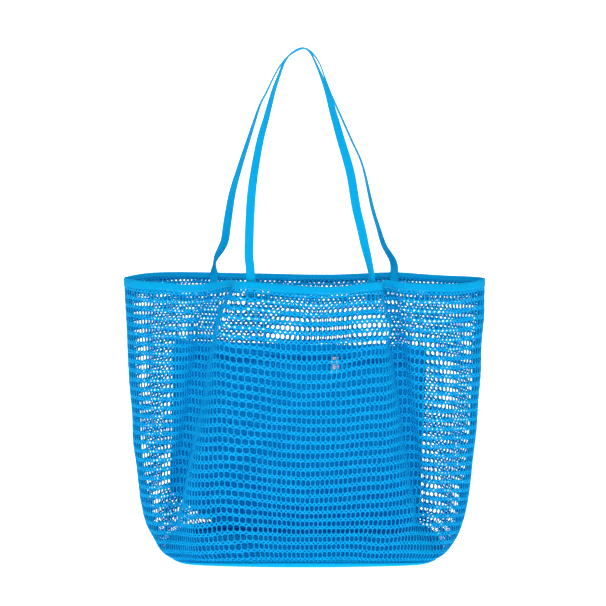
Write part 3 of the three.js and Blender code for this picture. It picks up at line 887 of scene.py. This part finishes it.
# ---- Handles ----
# Each strap's route in millimetres, as (x, z, twist in degrees), from its left sewn end to its right one.
# At twist 0 and 180 its face is to the front.
FRONT_ROUTE = [
    (-66, 335, 0), (-66, 346, 0), (-66, 357, 0), (-66, 368, 0), (-66.6, 380, 0), (-68, 393, 0),
    (-67, 431, 5), (-65, 466, 15), (-61, 497, 30), (-54.5, 532, 42), (-47, 559, 52), (-38.5, 590, 65),
    (-31, 611, 75), (-24, 628, 83), (-14, 639, 88), (-2, 644, 90), (7, 638, 92), (14, 624, 97),
    (20, 610, 106), (27, 592, 120), (35, 565, 138), (44.5, 532, 152), (52, 507, 163), (57, 487, 170),
    (63, 450, 176), (69, 425, 172), (73, 406, 160), (78, 385, 138), (81, 370, 128), (81, 362, 140),
    (81, 354, 172), (81, 346, 180), (81, 335, 180),
]
BACK_ROUTE = [
    (-122, 335, 0), (-121, 346, 0), (-120, 356, 12), (-120, 363, 50), (-119.5, 369, 74), (-118, 375, 70),
    (-114.5, 383, 40), (-110, 391, 20), (-105, 402, 9), (-101, 426, 14), (-94, 464, 38), (-84.5, 496, 54),
    (-72, 533, 66), (-57, 575, 80), (-48, 592, 84), (-35, 617, 88), (-24, 632, 90), (-12, 641, 90),
    (0, 645, 90), (10, 639, 90), (19, 626, 90), (26, 608, 92), (34, 588, 95), (43.5, 568, 98),
    (60, 533, 98), (75, 500, 99), (88, 447, 111), (96, 421, 116), (104, 397, 128), (111, 385, 140),
    (116.5, 376, 147), (119, 367, 155), (119, 356, 174), (119, 346, 180), (119, 335, 180),
]


def strap_path(route, joint, tip):
    """A strap's middle line, its direction, the direction of its width and the length along it.

    It leans from its pivot to its tip, which is (y, z).
    """
    curve = smooth_curve(route, 12)
    curve[:, :2] *= MM
    pivot = JOINTS[joint]["pos_m"]
    rise = np.clip((curve[:, 1] - pivot[2]) / (tip[1] - pivot[2]), 0, 1)
    y = pivot[1] + (tip[0] - pivot[1]) * rise
    rows = np.column_stack([curve[:, 0], y, curve[:, 1], curve[:, 2]])
    along = lengths_along(rows[:, :3])
    wanted = np.linspace(0, along[-1], int(along[-1] / (1.6 * MM)))
    rows = np.stack([np.interp(wanted, along, rows[:, k]) for k in range(4)], axis=1)
    at = smoothed(rows[:, :3], 0, 4)
    turn = np.radians(smoothed(rows[:, 3:], 0, 4)[:, 0])
    forward = unit(np.gradient(at, axis=0))
    width = np.column_stack([np.cos(turn), np.sin(turn), np.zeros(len(turn))])
    width = unit(width - forward * (width * forward).sum(axis=1, keepdims=True))
    return at, forward, width, wanted


def strap(name, route, joint, ends, handle):
    """One webbing strap with both sewn ends. It bends where the frame's handle turns."""
    box_low, box_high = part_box(handle)
    inner_y = box_high.y if box_high.y < 0 else box_low.y
    tip = (inner_y + math.copysign(STRAP_WIDTH / 2, inner_y), box_high.z - 0.6 * MM)
    at, forward, width, along = strap_path(route, joint, tip)
    face = np.cross(forward, width)
    half = STRAP_WIDTH / 2
    thick = STRAP_THICKNESS / 2
    top = [
        (-half, 0), (-0.97 * half, 0.7 * thick), (-0.86 * half, thick), (-0.4 * half, 1.06 * thick),
        (0, 1.1 * thick), (0.4 * half, 1.06 * thick), (0.86 * half, thick), (0.97 * half, 0.7 * thick),
    ]
    section = top + [(-a, -b) for a, b in top]
    curl = 0.7 * MM * np.sin(along / (47 * MM) + 0.6)
    rings = []
    uv = []
    for k, (aside, out) in enumerate(section):
        cupped = out + curl * ((aside / half) ** 2 - 0.4)
        rings.append(at + width * aside + face * cupped[:, None])
        across = aside + (0 if k < len(top) else STRAP_WIDTH)
        uv.append(np.column_stack([np.full(len(at), across), along]))
    obj = swept(name, rings, uv, WEBBING, closed=False)
    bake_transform(obj)
    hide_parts(handle, *ends)
    return at, width, face


def strap_tacks(name, at, width, face):
    """The sewn box and cross that hold a strap's end, on its inner face."""
    rows = (at[:, 2] > TACK_LOW) & (at[:, 2] < TACK_HIGH)
    middle = at[rows].mean(axis=0)
    aside = unit(width[rows].mean(axis=0))
    out = unit(face[rows].mean(axis=0))
    if out[1] * middle[1] > 0:
        out = -out
    up = np.array([0.0, 0.0, 1.0])
    corners = [(-1, -1), (1, -1), (1, 1), (-1, 1), (-1, -1), (1, 1), (1, -1), (-1, 1)]
    middles = []
    directions = []
    for (a, b), (c, d) in zip(corners, corners[1:]):
        start = middle + aside * a * TACK_HALF + up * b * TACK_HALF
        end = middle + aside * c * TACK_HALF + up * d * TACK_HALF
        steps = max(2, round(np.linalg.norm(end - start) / STITCH_LENGTH))
        for k in range(steps):
            middles.append(start + (end - start) * (k + 0.5) / steps)
            directions.append(unit(end - start))
    middles = np.array(middles) + out * (STRAP_THICKNESS / 2 + 0.15 * MM)
    directions = np.array(directions)
    outs = np.tile(out, (len(middles), 1))
    obj = stitches(name, middles, directions, outs)
    belongs(obj, "strap_webbing")


def handles():
    """Both straps, and the sewn boxes on their four ends."""
    for side, route in (("front", FRONT_ROUTE), ("back", BACK_ROUTE)):
        ends = [f"{side}_handle_end_left", f"{side}_handle_end_right"]
        handle = f"{side}_handle"
        name = f"{side}_strap_webbing"
        at, width, face = strap(name, route, f"{handle}_swing", ends, handle)
        half = len(at) // 2
        for part, hand in ((slice(0, half), "left"), (slice(half, None), "right")):
            strap_tacks(f"{side}_strap_tack_{hand}", at[part], width[part], face[part])


# ---- Inner pocket ----
STRIP_LOW, STRIP_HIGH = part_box("pocket_top_strip")
TILT = math.radians(1.5)  # the pocket's left end sits a little higher
POCKET_TOP_MIDDLE = np.array([
    (STRIP_LOW.x + STRIP_HIGH.x) / 2, STRIP_LOW.y, (STRIP_LOW.z + STRIP_HIGH.z) / 2 + 8 * MM])
POCKET_HALF = 167 * MM
POCKET_FOOT = -257 * MM
CORNER_CUT = np.array([74, 50]) * MM  # its lower left corner is tucked up this far across and up
POCKET_CLOTH_THICKNESS = 0.5 * MM
POCKET_FRONT_DEPTH = 0.4 * MM
POCKET_BACK_DEPTH = 4.6 * MM
ZIP_LEVEL = -21 * MM
ZIP_WINDOW = 5 * MM  # half the height of the opening between the front layer and the strip
ZIP_TAPE_HALF = 150 * MM
ZIP_TAPE_EDGE = 0.7 * MM  # from the zip's middle line to a tape's near edge
ZIP_TAPE_REACH = 13 * MM  # and to its far edge
ZIP_TAPE_DEPTH = 1.4 * MM
COIL_PITCH = 1.4 * MM
COIL_MIDDLE = 1.1 * MM
COIL_REACH = 1.25 * MM
COIL_DEPTH = 0.55 * MM
COIL_THREAD = 0.27 * MM


def pocket_place(x, z, depth):
    """A point of the pocket: its x and z are from the top's middle, and depth is behind the front face."""
    across = x / POCKET_HALF
    down = z / POCKET_FOOT
    flare = -4 * MM * down * np.clip(-across, 0, 1) ** 2
    sag = -1.6 * MM * (1 - across**2) * np.exp(-((z / (30 * MM)) ** 2))
    u = x / MM
    v = z / MM
    slack = 1.6 * np.sin(u / 34 + v / 90 + 0.6) * np.sin(v / 52 + 0.9)
    slack = slack + 0.7 * np.sin(u / 13 - v / 21) * down
    crease = 2.6 * np.exp(-(((v + 203 + 0.03 * u) / 7) ** 2))
    crease = crease - 2.0 * np.exp(-(((v + 222 + 0.02 * u) / 9) ** 2))
    near_zip = np.exp(-(((z - ZIP_LEVEL) / (16 * MM)) ** 2))
    y = depth + (slack * 0.8 + crease) * (1 - near_zip) * (1 - np.abs(across) ** 6) * MM
    px = x + flare
    pz = z + sag
    return POCKET_TOP_MIDDLE + np.stack([
        px * math.cos(TILT) + pz * math.sin(TILT), y, pz * math.cos(TILT) - px * math.sin(TILT)], axis=-1)


def pocket_floor(x):
    """The pocket's lower edge at x, with its lower left corner drawn up."""
    into = np.clip((x + POCKET_HALF) / CORNER_CUT[0], 0, 1)
    return POCKET_FOOT + CORNER_CUT[1] * (1 - into) ** 1.2


def pocket_sheet(name, low, high, depth, node):
    """A layer of the pocket between two levels. low is a level, or None for the pocket's lower edge."""
    x = np.linspace(-POCKET_HALF, POCKET_HALF, 150)
    bottom = pocket_floor(x) if low is None else np.full_like(x, low)
    rows = 110 if low is None else 12
    share = np.linspace(0, 1, rows)[:, None]
    z = bottom + (high - bottom) * share
    x = np.broadcast_to(x, z.shape)
    closing = 1.2 * MM * (np.abs(x) / POCKET_HALF) ** 10 * (1 if depth < 2 * MM else -1)
    grid = pocket_place(x, z, depth + closing)
    uv = np.stack([x, z], axis=-1)
    obj = sheet_from_grid(name, grid, uv, POCKET_CLOTH_THICKNESS, POCKET_CLOTH)
    belongs(obj, "pocket_cloth", node)
    return obj


def pocket_binding():
    """A tape folded over the pocket's sides and bottom. Its section is (inwards, depth), in millimetres."""
    x = np.linspace(-POCKET_HALF, POCKET_HALF, 160)
    left = np.column_stack([np.full(90, -POCKET_HALF), np.linspace(0, pocket_floor(x[0]), 90)])
    bottom = np.column_stack([x, pocket_floor(x)])
    right = np.column_stack([np.full(90, POCKET_HALF), np.linspace(pocket_floor(x[-1]), 0, 90)])
    rise_and_flank_shade = smoothed(resample(np.vstack([left[:-1], bottom, right[1:]]), 420), 0, 6)
    along = lengths_along(rise_and_flank_shade)
    heading = unit(np.gradient(rise_and_flank_shade, axis=0))
    inward = np.column_stack([-heading[:, 1], heading[:, 0]])
    section = [
        (5.5, -0.5), (4.5, -0.9), (0.8, -0.9), (-0.2, 0.4), (-0.5, 2.5), (-0.2, 4.6), (0.8, 5.9), (4.5, 5.9),
        (5.5, 5.5), (4.4, 5.2), (0.9, 4.9), (0.4, 2.5), (0.9, 0.1), (4.4, -0.1),
    ]
    rings = []
    uv = []
    for reach, depth in section:
        x, z = (rise_and_flank_shade + inward * reach * MM).T
        rings.append(pocket_place(x, z, np.full(len(rise_and_flank_shade), depth * MM)))
        across = (reach + (20 if depth > 2.5 else 0)) * MM
        uv.append(np.column_stack([np.full(len(rise_and_flank_shade), across), along]))
    obj = swept("pocket_binding", rings, uv, TAPE, closed=False)
    belongs(obj, "binding_tape", "pocket_edge_binding")


def zip_tape(sign, node):
    """One half of the zip's tape, below (-1) or above (1) its middle line."""
    x = np.linspace(-ZIP_TAPE_HALF, ZIP_TAPE_HALF, 160)
    z = ZIP_LEVEL + sign * np.linspace(ZIP_TAPE_EDGE, ZIP_TAPE_REACH, 10)
    x, z = np.meshgrid(x, z)
    grid = pocket_place(x, z, np.full(x.shape, ZIP_TAPE_DEPTH))
    if sign < 0:
        grid = grid[::-1]
    uv = np.stack([z, x], axis=-1)
    obj = sheet_from_grid(f"{node}_cloth", grid, uv, POCKET_CLOTH_THICKNESS, ZIP_TAPE)
    belongs(obj, "zip_tape", node)


def zip_coil(sign, node):
    """A nylon coil: a thread wound flat, which lies along its tape's edge."""
    low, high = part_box(node)
    reach = (high.x - low.x) / 2
    turns = int(2 * reach / COIL_PITCH)
    steps = 10
    t = np.arange(turns * steps + 1) / steps
    turn = 2 * np.pi * t + (0 if sign > 0 else np.pi)
    x = -reach + 2 * reach * t / turns
    z = ZIP_LEVEL + sign * (COIL_MIDDLE + COIL_REACH * np.cos(turn))
    depth = 0.05 * MM + COIL_DEPTH * np.sin(turn)
    at = pocket_place(x, z, depth)
    forward = unit(np.gradient(at, axis=0))
    side = unit(np.cross(forward, [0.0, 1.0, 0.0]))
    out = np.cross(side, forward)
    angles = np.arange(6) * np.pi / 3
    rings = [at + COIL_THREAD * (side * math.cos(a) + out * math.sin(a)) for a in angles]
    uv = [np.column_stack([np.full(len(t), a * COIL_THREAD), t * COIL_PITCH]) for a in angles]
    obj = swept(f"{node}_loops", rings, uv, COIL, closed=False)
    belongs(obj, "zip_coil", node)


def metal_parts():
    """The slider, the pull and the two end stops are the frame's own, with a metal or lacquered look."""
    looks = {"zip_slider": METAL, "zip_pull": METAL, "zip_stop_left": LACQUER, "zip_stop_right": LACQUER}
    for node, look in looks.items():
        obj = frame["nodes"][node]
        obj.data.materials.clear()
        obj.data.materials.append(look)


def pocket():
    """The zipped pocket, whose three layers of cloth it returns."""
    depth = POCKET_FRONT_DEPTH
    front = pocket_sheet("pocket_front_cloth", None, ZIP_LEVEL - ZIP_WINDOW, depth, "pocket_front")
    strip = pocket_sheet("pocket_strip_cloth", ZIP_LEVEL + ZIP_WINDOW, 0.0, depth, "pocket_top_strip")
    back = pocket_sheet("pocket_back_cloth", None, 0.0, POCKET_BACK_DEPTH, "pocket_back")
    pocket_binding()
    for sign, name in ((-1, "lower"), (1, "upper")):
        zip_tape(sign, f"zip_tape_{name}")
        zip_coil(sign, f"zip_coil_{name}")
    metal_parts()
    return front, strip, back


# ---- Stage ----
FLOOR_HALF_WIDTH = 4.0
FLOOR_FRONT = -2.5
FLOOR_BEND = 1.6  # where the floor starts to curve up
BACKDROP_RADIUS = 1.2
BACKDROP_TOP = 4.0
WORLD_STRENGTH = 0.34
# Each soft light: name, place, size and power.
LIGHTS = [
    ("key", (-0.25, -1.9, 1.25), 0.9, 16.0),
    ("fill", (1.3, -1.2, 0.9), 1.4, 3.0),
    ("top", (0.0, -0.2, 2.1), 1.6, 15.0),
]
LIT_MIDDLE = np.array([0.0, 0.0, 0.25])
CAMERA_PLACE = (-0.002, -1.338, 0.512)
CAMERA_DOWN = 7.9  # degrees below level
CAMERA_LENS = 62.8
CAMERA_SENSOR = 36.0


def paper_floor():
    """A pale floor that curves up into a pale backdrop."""
    profile = [(FLOOR_FRONT, 0.0)]
    for turn in np.linspace(0, math.pi / 2, 14):
        y = FLOOR_BEND + BACKDROP_RADIUS * math.sin(turn)
        profile.append((y, BACKDROP_RADIUS - BACKDROP_RADIUS * math.cos(turn)))
    profile.append((FLOOR_BEND + BACKDROP_RADIUS, BACKDROP_TOP))
    points = [(x, y, z) for y, z in profile for x in (-FLOOR_HALF_WIDTH, FLOOR_HALF_WIDTH)]
    look = Look("paper")
    tone = look.between(look.noise(3.0), srgb(250, 250, 250), srgb(255, 255, 255))
    paper = look.finish(Base_Color=tone, Roughness=look.ranged(look.noise(60.0), 0.85, 0.95),
                        Emission_Color=(1.0, 1.0, 1.0, 1.0), Emission_Strength=0.9)
    floor = mesh_object("floor", points, grid_faces(len(profile), 2), paper)
    floor.location.z = -0.0004


def soft_lights():
    """An even white world and three large lights that point at the bag's middle."""
    scene = bpy.context.scene
    world = bpy.data.worlds.new("studio")
    world.use_nodes = True
    background = world.node_tree.nodes["Background"]
    background.inputs["Color"].default_value = (1.0, 1.0, 1.0, 1.0)
    background.inputs["Strength"].default_value = WORLD_STRENGTH
    scene.world = world
    for name, place, size, power in LIGHTS:
        data = bpy.data.lights.new(name, "AREA")
        data.size = size
        data.energy = power
        lamp = bpy.data.objects.new(name, data)
        lamp.location = place
        direction = Vector(LIT_MIDDLE - np.array(place))
        lamp.rotation_euler = direction.to_track_quat("-Z", "Y").to_euler()
        scene.collection.objects.link(lamp)


def camera():
    """The camera, a little above the rim and in front of the bag."""
    scene = bpy.context.scene
    data = bpy.data.cameras.new("camera")
    data.sensor_width = CAMERA_SENSOR
    data.lens = CAMERA_LENS
    eye = bpy.data.objects.new("camera", data)
    eye.location = CAMERA_PLACE
    eye.rotation_euler = (math.radians(90 - CAMERA_DOWN), 0.0, 0.0)
    scene.collection.objects.link(eye)
    scene.camera = eye
    scene.view_settings.view_transform = "Standard"
    scene.view_settings.look = "None"


# ---- Build ----
front_net = net_panel(
    "front_net", FRONT_WALL, NET_COLUMNS["front"], FRONT_GATHERS, FRONT_SAG, "front_net_panel")
back_net = net_panel(
    "back_net", BACK_WALL, NET_COLUMNS["back"], BACK_GATHERS, BACK_SAG, "back_net_panel")
front_hem = net_hem("front_net_hem", FRONT_WALL, NET_COLUMNS["front"], -1)
back_hem = net_hem("back_net_hem", BACK_WALL, NET_COLUMNS["back"], 1)
tape_round_rim()
rim_stitching()
base = base_cloth()
tape_along_wall("base_binding_tape", 2.0 * MM, 12 * MM, 1.3 * MM, 1.0 * MM, "base_seam_binding")
for sign, node in ((-1, "side_seam_tape_left"), (1, "side_seam_tape_right")):
    seam_tape(sign, node)
handles()
pocket_front, pocket_strip, pocket_back = pocket()

paper_floor()
soft_lights()
camera()
